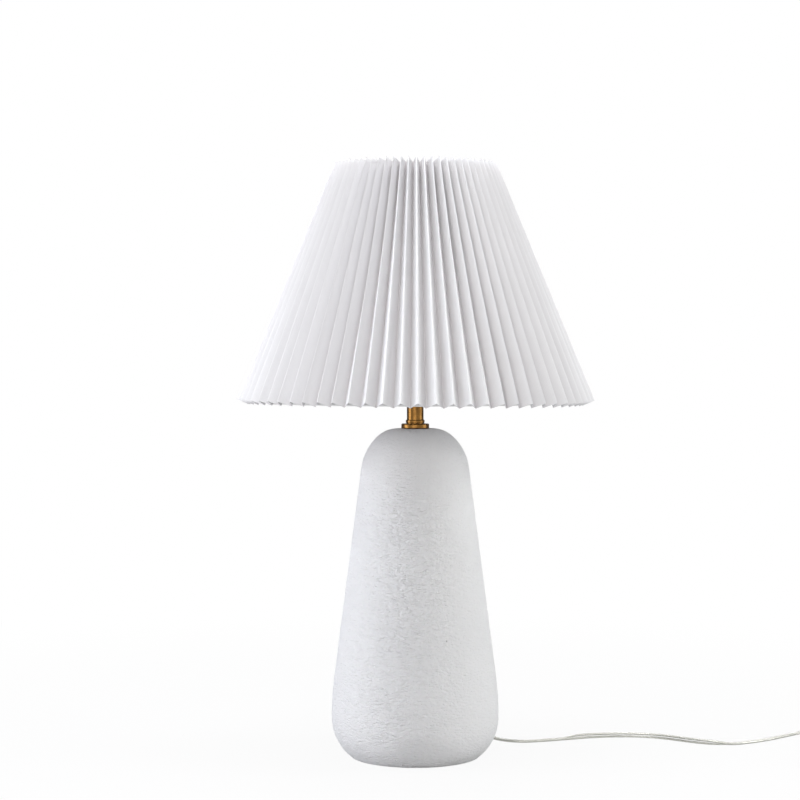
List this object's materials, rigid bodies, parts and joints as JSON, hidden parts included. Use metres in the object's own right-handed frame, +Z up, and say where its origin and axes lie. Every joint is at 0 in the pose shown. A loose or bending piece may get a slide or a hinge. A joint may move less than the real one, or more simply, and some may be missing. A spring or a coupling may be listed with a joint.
{
  "type": "table lamp",
  "caption": "Table lamp: a tapering white ceramic body on a felt pad, a brass neck with a screw-cap lampholder, a pleated cone shade, and a clear flex with a switch and plug.",
  "frame": {"origin": "on the table, under the middle of the foot", "axes": "+Z up along the lamp's axis; the flex leaves the back of the body at +Y and runs off to +X"},
  "size_m": [0.6712, 0.35, 0.5804],
  "materials": {
    "ceramic": "matt white glaze, finely wrinkled",
    "felt": "needle felt",
    "flex": "clear flexible PVC",
    "grommet": "moulded nylon",
    "steel": "zinc plated",
    "rubber": "matt",
    "brass": "brushed and lacquered",
    "holder": "phenolic moulding",
    "insert": "steatite",
    "contact": "bright",
    "frame": "white epoxy on steel wire",
    "pleats": "pleated cloth on card",
    "bulb_glass": "clear",
    "bulb_cap": "rolled thread",
    "bulb_black": "black glass",
    "filament": "phosphor coating",
    "switch": "moulded white",
    "plug": "moulded white PVC",
    "pin": "nickel plated",
    "sleeve": "moulded",
    "tie": "plastic coated wire"
  },
  "bodies": {
    "lamp": {"ceramic_body": "ceramic", "felt_pad": "felt", "cord_grommet": "grommet", "threaded_tube": "steel", "rubber_washer": "rubber", "clamp_washer": "steel", "tube_nut": "steel", "brass_flange": "brass", "brass_collar": "brass", "neck_tube": "brass", "holder_cap": "holder", "holder_insert": "insert", "terminal_screws": "steel", "screw_shell": "contact", "centre_contact": "contact", "holder_skirt": "holder", "shade_ring": "holder", "inner_flex": "flex", "cord_on_table": "flex", "cord_lead": "flex", "cord_coil": "flex", "cord_tail": "flex", "coil_tie": "tie", "switch_base": "switch", "switch_cover": "switch", "switch_screws": "steel", "switch_contacts": "contact", "plug_body": "plug", "plug_pins": "pin", "pin_sleeves": "sleeve"},
    "shade": {"shade_fitter": "frame", "shade_arms": "frame", "shade_bottom_ring": "frame", "shade_top_ring": "frame", "pleated_shade": "pleats"},
    "bulb": {"bulb_glass": "bulb_glass", "bulb_cap": "bulb_cap", "bulb_insulator": "bulb_black", "bulb_tip": "pin", "bulb_stem": "bulb_glass", "filament_supports": "steel", "bulb_filaments": "filament"},
    "rocker": {"switch_rocker": "switch"}
  },
  "joints": [
    {"name": "shade_turn", "type": "hinge", "parent": "lamp", "child": "shade", "pos_m": [0, 0, 0.407], "axis": [0, 0, 1], "continuous": true},
    {"name": "bulb_turn", "type": "hinge", "parent": "lamp", "child": "bulb", "pos_m": [0, 0, 0.42], "axis": [0, 0, 1], "continuous": true},
    {"name": "switch_rock", "type": "hinge", "parent": "lamp", "child": "rocker", "pos_m": [0.458, 0.051, 0.0128], "axis": [1, 0, 0], "range_deg": [0, 14]}
  ]
}
